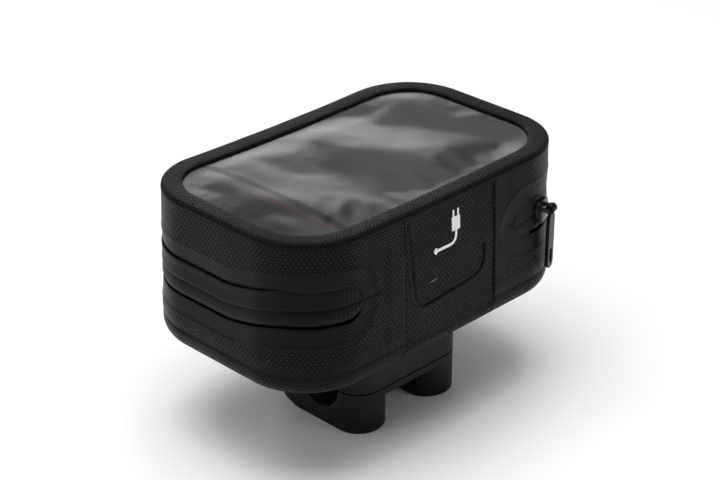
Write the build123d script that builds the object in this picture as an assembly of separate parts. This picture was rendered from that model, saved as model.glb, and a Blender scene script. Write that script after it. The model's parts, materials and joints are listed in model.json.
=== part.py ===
"""Bar-mounted tank bag: a small semi-rigid bag with a phone window, on a two-post handlebar clamp.

Frame: millimetres. The origin is on the handlebar axis, midway between the two clamp posts.
+X runs along the handlebar, +Z is up, and the bag sits above the bar with its cable-outlet side at -Y.
"""

import math
import os

from build123d import *

os.makedirs("parts", exist_ok=True)

# ---------------------------------------------------------------- bag body
rim_length = 200.0  # outside, at the top rim
rim_width = 124.4
rim_corner_radius = 37.0
bag_height = 84.0
bottom_flare = 2.4  # the walls lean out by this much per side from the rim to the bottom
bottom_edge_radius = 9.0
wall = 3.0  # coated fabric laminated on foam board
bag_setback = 10.0  # the bag's centre line lies behind the bar's axis

# ---------------------------------------------------------------- zip and lid
zip_height_at_hinge = 48.0  # above the bag's underside
zip_height_at_sides = 41.1
zip_drop_start = -45.2  # the zip line drops between these two places along Y, from the bag's centre
zip_drop_end = -8.0
zip_bend_radius = 60.0
slot_half_height = 9.5  # the slot in the wall that shows the zip's coated tape
slot_start = -61.0  # round ends of the slot on the hinge side, along X
slot_end = 50.0
lid_gap = 0.3  # between what moves with the lid and what stays
tape_recess = 1.5  # the tape lies this far behind the wall's outer face
tape_thickness = 1.2
coil_height = 2.6
coil_thickness = 1.5
coil_end_gap = 1.5  # the coils stop this far from the slot's round ends
garage_length = 8.0
garage_lap = 1.0  # over the slot's round end
smallest_edge_radius = 1.0

# ---------------------------------------------------------------- slider and puller
slider_length = 14.0  # along the zip
slider_height = 13.0
slider_plate = 2.2
slider_corner_radius = 5.0
under_thickness = 1.5  # the plate behind the coils
under_length = 12.0
under_height = 9.0
under_corner_radius = 3.46
slider_angle = 17.5  # place round the corner, from the hinge side's direction
slider_back_travel = 5.0  # degrees of the corner towards the garage
slider_out_travel = 25.0
slider_gap = 0.4
slit_spare_angle = 3.0  # degrees of free slit past the neck at both ends of the travel
stay_spare_angle = 5.0  # degrees of still tape past the slider
slider_neck_length = 4.0
slider_neck_height = 1.8
bridge_out = 5.0  # puller axis, from the wall's outer face
bridge_rise = 2.0  # puller axis, above the zip line
bridge_radius = 1.0
bridge_length = 8.5
bridge_arm = 1.4  # thickness of the arms that carry the puller's axle
puller_gap = 0.35
puller_length = 32.0
puller_width = 7.0
puller_thickness = 2.0
puller_corner_radius = 2.9
puller_eye_wall = 1.2
finger_hole_length = 8.5
finger_hole_width = 3.0
finger_hole_rise = 7.0  # its middle, above the puller's lower end

# ---------------------------------------------------------------- lid top and phone pocket
rim_band_width = 10.85
rim_band_thickness = 1.5
rim_edge_radius = 0.9
window_thickness = 0.5
window_margin = 4.0  # welded under the rim band
window_corner_radius = 24.0
stiffener_thickness = 2.0
stiffener_width = 6.0
pocket_depth = 5.5
pocket_back_thickness = 1.0
pocket_mouth = 38.0  # from the bag's end to the bound edge of the pocket's back
binding_width = 3.0
binding_thickness = 2.2

# ---------------------------------------------------------------- hinge-side panel and cable outlet
panel_start = -32.0
panel_end = 35.0
panel_recess = 0.6
panel_thickness = 1.0
outlet_x = -11.0
outlet_height = 39.5  # above the bag's underside
outlet_length = 12.0
outlet_width = 4.0
outlet_slit = 0.6
grommet_flange = 3.0
grommet_flange_thickness = 1.2

# ---------------------------------------------------------------- clamp
bar_diameter = 28.6
liner_thickness = 0.8
clamp_gap = 0.8
saddle_height = 29.3  # from the bar's axis to the bag's underside
clamp_length = 80.7  # along the bar
clamp_front = -29.3
clamp_back = 37.3
post_width = 28.6
post_depth = 24.0  # from the bar's axis to the feet
bridge_plate = 3.9
foot_flat_end = 15.3  # the feet are cut away behind this place
foot_slope = 20.0
foot_edge_radius = 1.2
saddle_pocket_depth = 11.0
saddle_pocket_length = 20.0
saddle_wall = 8.0
saddle_end_radius = 14.29
foot_cut_spare = 10.0  # the cut under the feet runs on past the clamp

# ---------------------------------------------------------------- fasteners
bolt_radius = 2.5  # M5
bolt_hole_radius = 2.75
bolt_head_radius = 4.25
bolt_head_height = 5.0
bolt_head_recess = 6.5
bolt_offset = 21.5  # from the bar's axis, to both sides
bolt_length = 32.0
bolt_tip_room = 1.5  # free hole past the bolt's tip
bolt_head_gap = 0.4
bolt_cut_spare = 20.0
hex_key = 4.0
insert_radius = 3.5
insert_length = 10.0
screw_radius = 2.0  # M4
screw_head_radius = 3.75
screw_head_height = 2.2
screw_length = 14.0
screw_tip_room = 1.0
screw_key = 2.5
screw_key_web = 0.8  # left under the key's socket
screw_spacing = 46.0
screw_front = -20.0
screw_back = 28.0
washer_radius = 6.0
washer_thickness = 1.0
floor_board_thickness = 2.0
floor_board_gap = 1.0

# ---------------------------------------------------------------- worked out from the above
flare_angle = math.degrees(math.atan(bottom_flare / bag_height))
bag_bottom = saddle_height
bag_top = bag_bottom + bag_height
zip_z_hinge = bag_bottom + zip_height_at_hinge
zip_z_sides = bag_bottom + zip_height_at_sides
hinge_y = bag_setback - rim_width / 2 - bottom_flare * (1 - zip_height_at_hinge / bag_height)
corner_x = rim_length / 2 - rim_corner_radius
corner_y = bag_setback - rim_width / 2 + rim_corner_radius
corner_reach = corner_y - hinge_y  # radius of the wall's outer face round the corner, at the zip
bore_radius = bar_diameter / 2 + liner_thickness
clamp_middle = (clamp_front + clamp_back) / 2
clamp_width = clamp_back - clamp_front
post_x = (clamp_length - post_width) / 2
bolt_places = [(sx * post_x, sy * bolt_offset) for sx in (-1, 1) for sy in (-1, 1)]
screw_places = [(sx * screw_spacing / 2, y) for sx in (-1, 1) for y in (screw_front, screw_back)]
far = 300.0  # reaches past the whole bag
slider_half_angle = math.degrees(slider_length / 2 / corner_reach)
# The upper tape beside the slider stays with the tub, so that the lid clears the slider.
stay_angle = slider_angle + slider_out_travel + slider_half_angle + stay_spare_angle
stay_end = corner_x + corner_reach * math.sin(math.radians(stay_angle))
neck_angle = math.degrees(slider_neck_length / 2 / corner_reach) + slit_spare_angle
slit_start = corner_x + corner_reach * math.sin(math.radians(slider_angle - slider_back_travel - neck_angle))
slit_stop = corner_x + corner_reach * math.sin(math.radians(slider_angle + slider_out_travel + neck_angle))
slit_half = slider_neck_height / 2 + slider_gap


def save(shape, name):
    """Writes one sub-part under its own name."""
    shape.label = name
    export_step(shape, f"parts/{name}.step")


def block(x0, x1, y0, y1, z0, z1):
    """Plain box between two corners."""
    middle = ((x0 + x1) / 2, (y0 + y1) / 2, (z0 + z1) / 2)
    return Pos(*middle) * Box(x1 - x0, y1 - y0, z1 - z0)


def bag_body(inset, floor=0.0):
    """The bag's leaning, round-cornered form, with its skin moved in by inset."""
    spread = bottom_flare * (1 - floor / bag_height) - inset
    outline = RectangleRounded(
        rim_length + 2 * spread, rim_width + 2 * spread, rim_corner_radius + spread
    )
    placed = Pos(0, bag_setback, bag_bottom + floor) * outline
    form = extrude(placed, amount=bag_height - floor, taper=flare_angle)
    lowest = form.faces().sort_by(Axis.Z)[0]
    return fillet(lowest.edges(), max(bottom_edge_radius - inset, smallest_edge_radius))


def below_zip(rise):
    """Everything under the zip line, with the line moved up by rise."""
    drop_start = bag_setback + zip_drop_start
    drop_end = bag_setback + zip_drop_end
    with BuildSketch(Plane.YZ) as side:
        with BuildLine():
            line = FilletPolyline(
                (-far, zip_z_hinge + rise),
                (drop_start, zip_z_hinge + rise),
                (drop_end, zip_z_sides + rise),
                (far, zip_z_sides + rise),
                radius=zip_bend_radius,
            )
            Polyline(line @ 1, (far, -far), (-far, -far), line @ 0)
        make_face()
    return extrude(side.sketch, amount=far / 2, both=True)


def zip_band(low, high):
    """The layer between two lines that run beside the zip line."""
    return below_zip(high) - below_zip(low)


def round_end(x, half_height):
    """A drum across the hinge-side wall, for a round end of the slot."""
    drum = Cylinder(half_height, far, rotation=(90, 0, 0))
    return Pos(x, corner_y - far / 2, zip_z_hinge) * drum


def hinge_block(reach):
    """The stretch of the hinge side between the slot's two ends, made longer by reach at both."""
    return block(slot_start - reach, slot_end + reach, -far, corner_y, -far, far)


def slot(half_height):
    """The zip's slot: a band round the bag with a round end at each side of the hinge."""
    band = zip_band(-half_height, half_height) - hinge_block(slot_half_height)
    starts = round_end(slot_start - slot_half_height, half_height)
    stops = round_end(slot_end + slot_half_height, half_height)
    return band + starts + stops


# The walls, floor and zip zone share these forms.
outer_form = bag_body(0.0)
inner_form = bag_body(wall, wall)
rim_slab = block(-far, far, -far, far, bag_top - rim_band_thickness, far)
shell = outer_form - inner_form - rim_slab
slot_form = slot(slot_half_height)
tub_side = below_zip(-lid_gap / 2)
lid_side = block(-far, far, -far, far, -far, far) - below_zip(lid_gap / 2)
panel_zone = block(panel_start, panel_end, -far, corner_y, bag_bottom + bottom_edge_radius, far)
panel_pocket = (outer_form - bag_body(panel_recess + panel_thickness)) & panel_zone
panel_layer = (bag_body(panel_recess) - bag_body(panel_recess + panel_thickness)) & panel_zone
stay_zone = block(slot_end - lid_gap, stay_end, -far, corner_y, -far, far)
moving_zone = block(slot_end - lid_gap, stay_end + lid_gap, -far, corner_y, -far, far)
slit = zip_band(-slit_half, slit_half) & block(slit_start, slit_stop, -far, corner_y, -far, far)
coil_path = block(-far, far, -far, far, -far, far) - hinge_block(coil_end_gap)

# ---------------------------------------------------------------- tub: walls, floor and panel
outlet_z = bag_bottom + outlet_height
outlet_outline = Pos(outlet_x, 0, outlet_z) * Rot(90, 0, 0) * SlotOverall(outlet_length, outlet_width)
outlet_hole = extrude(outlet_outline, amount=far)
screw_holes = [Pos(x, y, bag_bottom) * Cylinder(screw_radius, 4 * wall) for x, y in screw_places]

base_shell = (shell & tub_side) - slot_form - panel_pocket - outlet_hole - screw_holes
save(base_shell, "base_shell")

slit_outline = Pos(outlet_x, 0, outlet_z) * Rot(90, 0, 0) * Rectangle(outlet_length / 2, outlet_slit)
outlet_cut = extrude(slit_outline, amount=far)
hinge_panel_lower = (panel_layer & tub_side) - outlet_cut
save(hinge_panel_lower, "hinge_panel_lower")

# The grommet plugs the hole in the wall and has a flange on the inside.
grommet_layer = bag_body(panel_recess + panel_thickness) - bag_body(wall)
flange_layer = bag_body(wall) - bag_body(wall + grommet_flange_thickness)
flange_outline = Pos(outlet_x, 0, outlet_z) * Rot(90, 0, 0) * SlotOverall(
    outlet_length + 2 * grommet_flange, outlet_width + 2 * grommet_flange
)
cable_grommet = (grommet_layer & outlet_hole) + (flange_layer & extrude(flange_outline, amount=far))
save(cable_grommet - outlet_cut, "cable_grommet")

# The stiff board on the floor spreads the clamp's load.
board_bottom = bag_bottom + wall
board_inset = bottom_edge_radius + floor_board_gap
floor_board = bag_body(board_inset, wall) & block(
    -far, far, -far, far, board_bottom, board_bottom + floor_board_thickness
)
save(floor_board - screw_holes, "floor_board")

# ---------------------------------------------------------------- zip: tapes and coils
tape_layer = bag_body(tape_recess) - bag_body(tape_recess + tape_thickness)
coil_inset = tape_recess + tape_thickness
coil_layer = bag_body(coil_inset) - bag_body(coil_inset + coil_thickness)
save((tape_layer & slot_form & tub_side) - slit, "lower_zip_tape")
save((tape_layer & slot_form & lid_side) - moving_zone, "upper_zip_tape")

still_slot = slot(slot_half_height - lid_gap)
above_tub_side = still_slot - tub_side
zip_end_tape = (tape_layer & above_tub_side & stay_zone) - slit
save(zip_end_tape, "zip_end_tape")

garage_layer = outer_form - bag_body(tape_recess)
garage_zone = block(slot_end - garage_lap, slot_end + garage_length, -far, corner_y, -far, far)
zip_garage = garage_layer & still_slot & garage_zone
save(zip_garage, "zip_garage")

lower_coil_band = zip_band(-lid_gap / 2 - coil_height, -lid_gap / 2)
upper_coil_band = zip_band(lid_gap / 2, lid_gap / 2 + coil_height)
slit_room = block(slit_start, slit_stop, -far, corner_y, -far, far)
save((coil_layer & lower_coil_band & coil_path) - slit_room, "lower_zip_coil")
save((coil_layer & upper_coil_band & coil_path) - moving_zone, "upper_zip_coil")

# ---------------------------------------------------------------- lid: walls, top and phone pocket
lid_shell = (shell & lid_side) - slot_form - panel_pocket
save(lid_shell, "lid_shell")
below_rim = block(-far, far, -far, far, -far, bag_top - rim_band_thickness)
save(panel_layer & lid_side & below_rim, "hinge_panel_upper")


def level_sheet(length, width, corner, top, thickness):
    """A flat, round-cornered sheet whose upper face is at top."""
    outline = Pos(0, bag_setback, top - thickness) * RectangleRounded(length, width, corner)
    return extrude(outline, amount=thickness)


window_length = rim_length - 2 * rim_band_width
window_width = rim_width - 2 * rim_band_width
window_cut = level_sheet(window_length, window_width, window_corner_radius, far, far)
top_rim = (outer_form & rim_slab) - window_cut
rim_edges = top_rim.faces().sort_by(Axis.Z)[-1].outer_wire().edges()
save(fillet(rim_edges, rim_edge_radius), "top_rim")

window_top = bag_top - rim_band_thickness
window = level_sheet(
    window_length + 2 * window_margin,
    window_width + 2 * window_margin,
    window_corner_radius + window_margin,
    window_top,
    window_thickness,
)
save(window, "window")

stiffener_top = window_top - window_thickness
stiffener_slab = block(-far, far, -far, far, stiffener_top - stiffener_thickness, stiffener_top)
stiffener_ring = bag_body(wall) - bag_body(wall + stiffener_width)
save(stiffener_ring & stiffener_slab, "rim_stiffener")

pocket_top = stiffener_top - pocket_depth
pocket_slab = block(-far, far, -far, far, pocket_top - pocket_back_thickness, pocket_top)
bound_edge = pocket_mouth - rim_length / 2
beyond_edge = block(bound_edge, far, -far, far, -far, far)
pocket_back = bag_body(wall) & pocket_slab & beyond_edge

# The binding folds round the free edge of the pocket's back.
binding_length = rim_width - 2 * rim_band_width
binding_middle = pocket_top - pocket_back_thickness / 2
binding_box = block(
    bound_edge - binding_width / 2,
    bound_edge + binding_width / 2,
    bag_setback - binding_length / 2,
    bag_setback + binding_length / 2,
    binding_middle - binding_thickness / 2,
    binding_middle + binding_thickness / 2,
)
save(pocket_back, "pocket_back")
save(binding_box - pocket_back, "pocket_binding")

# ---------------------------------------------------------------- slider and puller, built facing -Y
corner_axis = Pos(corner_x, corner_y, 0) * Rot(0, 0, slider_angle)
plate_inner = corner_reach - tape_recess + slider_gap
plate_outer = plate_inner + slider_plate


def curved_plate(inner, outer, length, height, corner):
    """A plate with rounded corners that follows the bag's corner at the zip."""
    ring = Cylinder(outer, far) - Cylinder(inner, far)
    face = Rot(90, 0, 0) * RectangleRounded(length, height, corner)
    return ring & extrude(face, amount=far)


neck_inner = corner_reach - coil_inset - coil_thickness - slider_gap
neck = block(
    -slider_neck_length / 2,
    slider_neck_length / 2,
    -plate_inner - slider_plate / 2,
    -neck_inner + under_thickness / 2,
    -slider_neck_height / 2,
    slider_neck_height / 2,
)
axle_out = corner_reach + bridge_out
axle = Pos(0, -axle_out, bridge_rise) * Cylinder(bridge_radius, bridge_length, rotation=(0, 90, 0))
slider = curved_plate(plate_inner, plate_outer, slider_length, slider_height, slider_corner_radius)
under_inner = neck_inner - under_thickness
slider += curved_plate(under_inner, neck_inner, under_length, under_height, under_corner_radius)
slider += neck
slider += axle
for side in (-1, 1):
    post_start = side * (bridge_length / 2)
    post_stop = side * (bridge_length / 2 - bridge_arm)
    slider += block(
        min(post_start, post_stop),
        max(post_start, post_stop),
        -axle_out - bridge_radius,
        -plate_outer + slider_plate / 2,
        bridge_rise - bridge_radius,
        bridge_rise + bridge_radius,
    )
slider_place = Pos(0, 0, zip_z_hinge)
save(corner_axis * slider_place * slider, "zip_slider")

eye_bore = bridge_radius + puller_gap
eye_radius = eye_bore + puller_eye_wall
eye_width = bridge_length - 2 * bridge_arm - 2 * puller_gap
eye = Cylinder(eye_radius, eye_width, rotation=(0, 90, 0))
tab = Rot(90, 0, 0) * RectangleRounded(puller_width, puller_length, puller_corner_radius)
grip = Pos(0, puller_thickness / 2, -puller_length / 2 - eye_radius) * extrude(tab, amount=puller_thickness)
stem = block(
    -eye_width / 2,
    eye_width / 2,
    -puller_thickness / 2,
    puller_thickness / 2,
    -eye_radius - puller_width / 2,
    0,
)
finger_hole_z = -eye_radius - puller_length + finger_hole_rise
finger_hole = Pos(0, 0, finger_hole_z) * Rot(90, 0, 0) * SlotOverall(
    finger_hole_length, finger_hole_width, rotation=90
)
puller = grip + eye + stem - extrude(finger_hole, amount=puller_thickness, both=True)
puller -= Cylinder(eye_bore, far, rotation=(0, 90, 0))
puller_place = Pos(0, -axle_out, zip_z_hinge + bridge_rise)
save(corner_axis * puller_place * puller, "zip_puller")

# ---------------------------------------------------------------- clamp: saddle, bridge and liners
saddle_outline = Pos(0, clamp_middle) * RectangleRounded(clamp_length, clamp_width, saddle_end_radius)
bore = Cylinder(bore_radius, far, rotation=(0, 90, 0))
saddle = extrude(Pos(0, 0, clamp_gap / 2) * saddle_outline, amount=saddle_height - clamp_gap / 2)
saddle -= bore
saddle -= block(
    -saddle_pocket_length / 2,
    saddle_pocket_length / 2,
    clamp_front + saddle_wall,
    clamp_back - saddle_wall,
    saddle_height - saddle_pocket_depth,
    far,
)
bolt_tip = bolt_length - post_depth + bolt_head_recess
bolt_blind = bolt_tip + bolt_tip_room
for x, y in bolt_places:
    saddle -= Pos(x, y, bolt_blind / 2) * Cylinder(bolt_hole_radius, bolt_blind)
    saddle -= Pos(x, y, clamp_gap / 2 + insert_length / 2) * Cylinder(insert_radius, insert_length)
screw_tip = bag_bottom + wall + floor_board_thickness + washer_thickness - screw_length
for x, y in screw_places:
    depth = bag_bottom - screw_tip + screw_tip_room
    saddle -= Pos(x, y, bag_bottom - depth / 2) * Cylinder(screw_radius, depth)
save(saddle, "saddle")

foot_z = -post_depth
post_outline = SlotOverall(clamp_width, post_width, rotation=90)
bridge_top = -clamp_gap / 2
bridge = extrude(Pos(0, 0, bridge_top - bridge_plate) * saddle_outline, amount=bridge_plate)
for side in (-1, 1):
    placed = Pos(side * post_x, clamp_middle, foot_z) * post_outline
    bridge += extrude(placed, amount=bridge_top - foot_z)
slope_rise = (clamp_back - foot_flat_end + foot_cut_spare) * math.tan(math.radians(foot_slope))
with BuildSketch(Plane.YZ) as wedge_outline:
    with BuildLine():
        Polyline(
            (foot_flat_end, foot_z),
            (clamp_back + foot_cut_spare, foot_z + slope_rise),
            (clamp_back + foot_cut_spare, foot_z - foot_cut_spare),
            (foot_flat_end, foot_z - foot_cut_spare),
            close=True,
        )
    make_face()
bridge -= extrude(wedge_outline.sketch, amount=far / 2, both=True)
feet = bridge.faces().filter_by(Plane.XY).filter_by_position(Axis.Z, foot_z - 0.1, foot_z + 0.1)
foot_edges = [e for face in feet for e in face.edges() if e.geom_type == GeomType.CIRCLE]
bridge = fillet(foot_edges, foot_edge_radius)
bridge -= bore
for x, y in bolt_places:
    bridge -= Pos(x, y, foot_z / 2) * Cylinder(bolt_hole_radius, 2 * post_depth)
    head_cut = Cylinder(bolt_head_radius + bolt_head_gap, bolt_cut_spare)
    bridge -= Pos(x, y, foot_z + bolt_head_recess - bolt_cut_spare / 2) * head_cut
save(bridge, "clamp_bridge")

liner_ring = bore - Cylinder(bar_diameter / 2, far, rotation=(0, 90, 0))
upper_half = block(-far, far, -far, far, clamp_gap / 2, far)
lower_half = block(-far, far, -far, far, -far, -clamp_gap / 2)
for half, name in ((upper_half, "bar_liner_upper"), (lower_half, "bar_liner_lower")):
    pair = []
    for side in (-1, 1):
        middle = side * post_x
        reach = block(middle - post_width / 2, middle + post_width / 2, -far, far, -far, far)
        pair.append((liner_ring & half & reach).solids()[0])
    save(Compound(pair), name)

# ---------------------------------------------------------------- fasteners, each kind one group
bolts = []
inserts = []
head_z = foot_z + bolt_head_recess
for x, y in bolt_places:
    head = Pos(x, y, head_z - bolt_head_height / 2) * Cylinder(bolt_head_radius, bolt_head_height)
    key = extrude(Pos(x, y, head_z - bolt_head_height) * RegularPolygon(hex_key / 2, 6, major_radius=False),
                  amount=bolt_head_height / 2)
    shank = Pos(x, y, head_z + bolt_length / 2) * Cylinder(bolt_radius, bolt_length)
    bolts.append((head - key + shank).solids()[0])
    sleeve = Pos(x, y, clamp_gap / 2 + insert_length / 2) * Cylinder(insert_radius, insert_length)
    hole = Pos(x, y, clamp_gap / 2 + insert_length / 2) * Cylinder(bolt_radius, insert_length)
    inserts.append((sleeve - hole).solids()[0])
save(Compound(bolts), "clamp_bolts")
save(Compound(inserts), "clamp_inserts")

screws = []
washers = []
washer_bottom = board_bottom + floor_board_thickness
for x, y in screw_places:
    washer = Pos(x, y, washer_bottom + washer_thickness / 2) * Cylinder(washer_radius, washer_thickness)
    hole = Pos(x, y, washer_bottom + washer_thickness / 2) * Cylinder(screw_radius, washer_thickness)
    washers.append((washer - hole).solids()[0])
    under_head = washer_bottom + washer_thickness
    shank = Pos(x, y, under_head - screw_length / 2) * Cylinder(screw_radius, screw_length)
    head = Pos(x, y, under_head + screw_head_height / 2) * Cylinder(screw_head_radius, screw_head_height)
    key_outline = RegularPolygon(screw_key / 2, 6, major_radius=False)
    socket = extrude(Pos(x, y, under_head + screw_key_web) * key_outline, amount=screw_head_height)
    screws.append((shank + head - socket).solids()[0])
save(Compound(screws), "saddle_screws")
save(Compound(washers), "saddle_washers")

print("hinge axis y, z", round(hinge_y, 3), round(zip_z_hinge, 3))
print("corner axis x, y", round(corner_x, 3), round(corner_y, 3), "reach", round(corner_reach, 3))
print("puller axis, out", round(axle_out, 3), "z", round(zip_z_hinge + bridge_rise, 3))
print("stay end", round(stay_end, 2), "slit", round(slit_start, 2), round(slit_stop, 2))
print("pocket top", round(pocket_top, 2), "board top", round(washer_bottom, 2))
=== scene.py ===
import json
import math

import bmesh
import bpy
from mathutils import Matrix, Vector, noise


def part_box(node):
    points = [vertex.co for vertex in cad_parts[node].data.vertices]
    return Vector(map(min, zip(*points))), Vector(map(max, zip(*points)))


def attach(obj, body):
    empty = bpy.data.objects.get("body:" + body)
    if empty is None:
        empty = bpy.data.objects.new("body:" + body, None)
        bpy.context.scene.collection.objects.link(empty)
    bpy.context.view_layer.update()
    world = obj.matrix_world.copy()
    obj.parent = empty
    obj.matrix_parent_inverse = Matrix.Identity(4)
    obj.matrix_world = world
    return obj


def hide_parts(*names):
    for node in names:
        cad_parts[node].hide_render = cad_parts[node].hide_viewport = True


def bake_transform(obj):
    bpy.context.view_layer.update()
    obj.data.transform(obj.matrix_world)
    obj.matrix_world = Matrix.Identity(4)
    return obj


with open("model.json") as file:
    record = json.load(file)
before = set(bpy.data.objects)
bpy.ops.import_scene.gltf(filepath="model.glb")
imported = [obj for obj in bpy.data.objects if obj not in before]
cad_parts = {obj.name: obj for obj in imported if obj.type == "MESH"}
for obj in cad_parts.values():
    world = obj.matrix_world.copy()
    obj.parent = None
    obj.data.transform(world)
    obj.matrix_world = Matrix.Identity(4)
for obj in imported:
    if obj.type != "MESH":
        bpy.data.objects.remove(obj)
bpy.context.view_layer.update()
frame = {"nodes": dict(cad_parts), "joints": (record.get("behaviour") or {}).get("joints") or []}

# ------------------------------------------------------------------ camera, floor and light
# The bag stands on a white sweep and is seen with a long lens from a little above, towards its
# cable-outlet corner. Large soft boxes light it from above, from behind and from both sides.
MM = 0.001
camera_aim = Vector((9.69, 19.15, 57.6)) * MM
camera_azimuth = math.radians(-45.24)
camera_elevation = math.radians(27.29)
camera_distance = 1036.3 * MM
camera_back = Vector((
    math.sin(camera_azimuth) * math.cos(camera_elevation),
    -math.cos(camera_azimuth) * math.cos(camera_elevation),
    math.sin(camera_elevation),
))
bpy.ops.object.camera_add(location=camera_aim + camera_back * camera_distance)
camera = bpy.context.object
camera.rotation_mode = "QUATERNION"
camera.rotation_quaternion = (-camera_back).to_track_quat("-Z", "Y")
camera.data.sensor_width = 36.0
camera.data.lens = 97.4
camera.data.clip_start = 0.01
camera.data.clip_end = 20.0
bpy.context.scene.camera = camera


def linear(code):
    """An sRGB hex colour as the linear colour that a shader takes."""
    parts = [int(code[place:place + 2], 16) / 255 for place in (0, 2, 4)]
    return [c / 12.92 if c <= 0.04045 else ((c + 0.055) / 1.055) ** 2.4 for c in parts] + [1.0]


def add_node(tree, kind, settings=None, **links):
    """Adds a shader node, sets its properties, and fills its sockets by name or number."""
    made = tree.nodes.new("ShaderNode" + kind)
    for name, value in (settings or {}).items():
        setattr(made, name, value)
    for name, value in links.items():
        key = int(name[1:]) if name[1:].isdigit() else name.replace("_", " ")
        socket = made.inputs[key]
        if isinstance(value, bpy.types.NodeSocket):
            tree.links.new(value, socket)
        else:
            socket.default_value = value
    return made


def new_material(name):
    """An empty material with its tree and its output node."""
    made = bpy.data.materials.new(name)
    made.use_nodes = True
    made.node_tree.nodes.clear()
    return made, made.node_tree, add_node(made.node_tree, "OutputMaterial")


floor_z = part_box("clamp_bridge")[0].z
bpy.ops.mesh.primitive_plane_add(size=12.0, location=(0, 0, floor_z))
studio_floor = bpy.context.object
studio_floor.name = "studio_floor"
floor_paint, tree, output = new_material("white_sweep")
floor_coat = add_node(tree, "BsdfPrincipled", Base_Color=linear("F4F4F4"), Roughness=0.9)
tree.links.new(floor_coat.outputs[0], output.inputs[0])
studio_floor.data.materials.append(floor_paint)

world = bpy.data.worlds.new("studio")
bpy.context.scene.world = world
world.use_nodes = True
world.node_tree.nodes["Background"].inputs["Color"].default_value = linear("FFFFFF")
world.node_tree.nodes["Background"].inputs["Strength"].default_value = 0.25
bpy.context.scene.view_settings.view_transform = "Standard"

soft_boxes = (
    # name, place, size, power
    ("top_box", (-0.1, 0.1, 1.6), 1.4, 26.0),
    ("back_box", (0.95, 1.3, 0.46), 0.8, 4.0),
    ("left_box", (-1.3, 0.35, 0.8), 0.8, 4.5),
    ("right_box", (0.5, -1.4, 0.7), 0.7, 2.0),
    ("far_box", (1.0, 0.6, 1.3), 0.8, 2.0),
)
for name, place, size, power in soft_boxes:
    bpy.ops.object.light_add(type="AREA", location=place)
    lamp = bpy.context.object
    lamp.name = name
    lamp.data.size = size
    lamp.data.energy = power
    lamp.rotation_mode = "QUATERNION"
    lamp.rotation_quaternion = (Vector((0, 0.01, 0.07)) - lamp.location).to_track_quat("-Z", "Y")

# ------------------------------------------------------------------ bag wall
# One shell of coated polyester on foam board: floor, walls and lid walls are a single wrap, with
# a long slot for the zip. On the cable side it runs through unbroken and is the lid's hinge.
rim_low, rim_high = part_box("top_rim")
tub_low, tub_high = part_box("base_shell")
joint = {j["name"]: j for j in frame["joints"]}
hinge_place = Vector(joint["lid_hinge"]["pos_m"])
corner_place = Vector(joint["slider_travel"]["pos_m"])
bag_top = rim_high.z
bag_bottom = tub_low.z
bag_height = bag_top - bag_bottom
bag_middle_y = (rim_low.y + rim_high.y) / 2
corner_radius = rim_high.x - corner_place.x
core_x = corner_place.x
core_y = bag_middle_y - corner_place.y
bottom_edge = 9 * MM
flare = (tub_high.x - rim_high.x) * bag_height / (bag_height - bottom_edge)
wall_thickness = 3 * MM
quarter = math.pi * corner_radius / 2
runs = (core_x, 2 * core_y, 2 * core_x, 2 * core_y, core_x)
girth = sum(runs) + 4 * quarter
cores = ((0, core_y), (-core_x, core_y), (-core_x, -core_y), (core_x, -core_y), (core_x, core_y), (0, core_y))

slot_half = 9.5 * MM  # half the height of the zip's slot
slot_start = -61 * MM  # the slot's round tips on the cable side
slot_end = 50 * MM
zip_z_hinge = hinge_place.z
zip_z_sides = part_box("lower_zip_coil")[0].z + 2.75 * MM
zip_bend_front = -35 * MM
zip_bend_back = 2 * MM


def skin_point(along, z, out, sag=0.0):
    """A place on the bag's skin: along runs round the rim from the middle of the back, by the left."""
    rest = along % girth
    for stretch, run in enumerate(runs):
        start = Vector(cores[stretch])
        if rest <= run or stretch == 4:
            core = start.lerp(Vector(cores[stretch + 1]), min(rest / run, 1.0))
            turn = math.radians(90 + 90 * stretch)
            break
        rest -= run
        if rest <= quarter:
            core = Vector(cores[stretch + 1])
            turn = math.radians(90 + 90 * stretch + 90 * rest / quarter)
            break
        rest -= quarter
    reach = corner_radius + flare * (bag_top - z) / bag_height + out
    x = core.x + reach * math.cos(turn)
    y = core.y + reach * math.sin(turn) + bag_middle_y
    return Vector((x, y, z - sag))


def zip_height(y):
    """Height of the zip's middle line: it climbs towards the cable side."""
    share = min(max((zip_bend_back - y) / (zip_bend_back - zip_bend_front), 0.0), 1.0)
    eased = share * share * (3 - 2 * share)
    return zip_z_sides + (zip_z_hinge - zip_z_sides) * (0.55 * share + 0.45 * eased)


def slot_reach(x, y, tip_radius=slot_half):
    """Half the slot's height at a place: full round the bag, round at the tips, none at the hinge."""
    if y > corner_place.y:
        return tip_radius
    beyond = max(slot_start - x, x - slot_end) + tip_radius - slot_half
    if beyond <= 0:
        return 0.0
    if beyond >= tip_radius:
        return tip_radius
    return math.sqrt(tip_radius ** 2 - (tip_radius - beyond) ** 2)


def bump(distance, width):
    """A smooth hill: 1 at no distance, 0 from width on."""
    share = min(abs(distance) / width, 1.0)
    return (1 - share * share) ** 2


def step(value, start, stop):
    """0 before start, 1 after stop, smooth between."""
    share = min(max((value - start) / (stop - start), 0.0), 1.0)
    return share * share * (3 - 2 * share)


weld_margin = 10.7 * MM  # the smooth welded field reaches this far past the slot
strip_a = (-44.4 * MM, -32 * MM)  # lap of the wrap over the cable-side panel, left and right
strip_b = (35 * MM, 47.5 * MM)
panel_recess = 0.7 * MM


def rim_sag(x):
    """The long edges of the lid hang a little between the corners."""
    return 1.5 * MM * max(0.0, 1 - (x / (92 * MM)) ** 2) ** 1.5


def wall_hollow(x, height):
    """How far the long walls draw in between the corners, from above the floor's edge to the rim."""
    return 0.9 * MM * (1 - (x / core_x) ** 2) * step(height, 30 * MM, 84 * MM)


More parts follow.
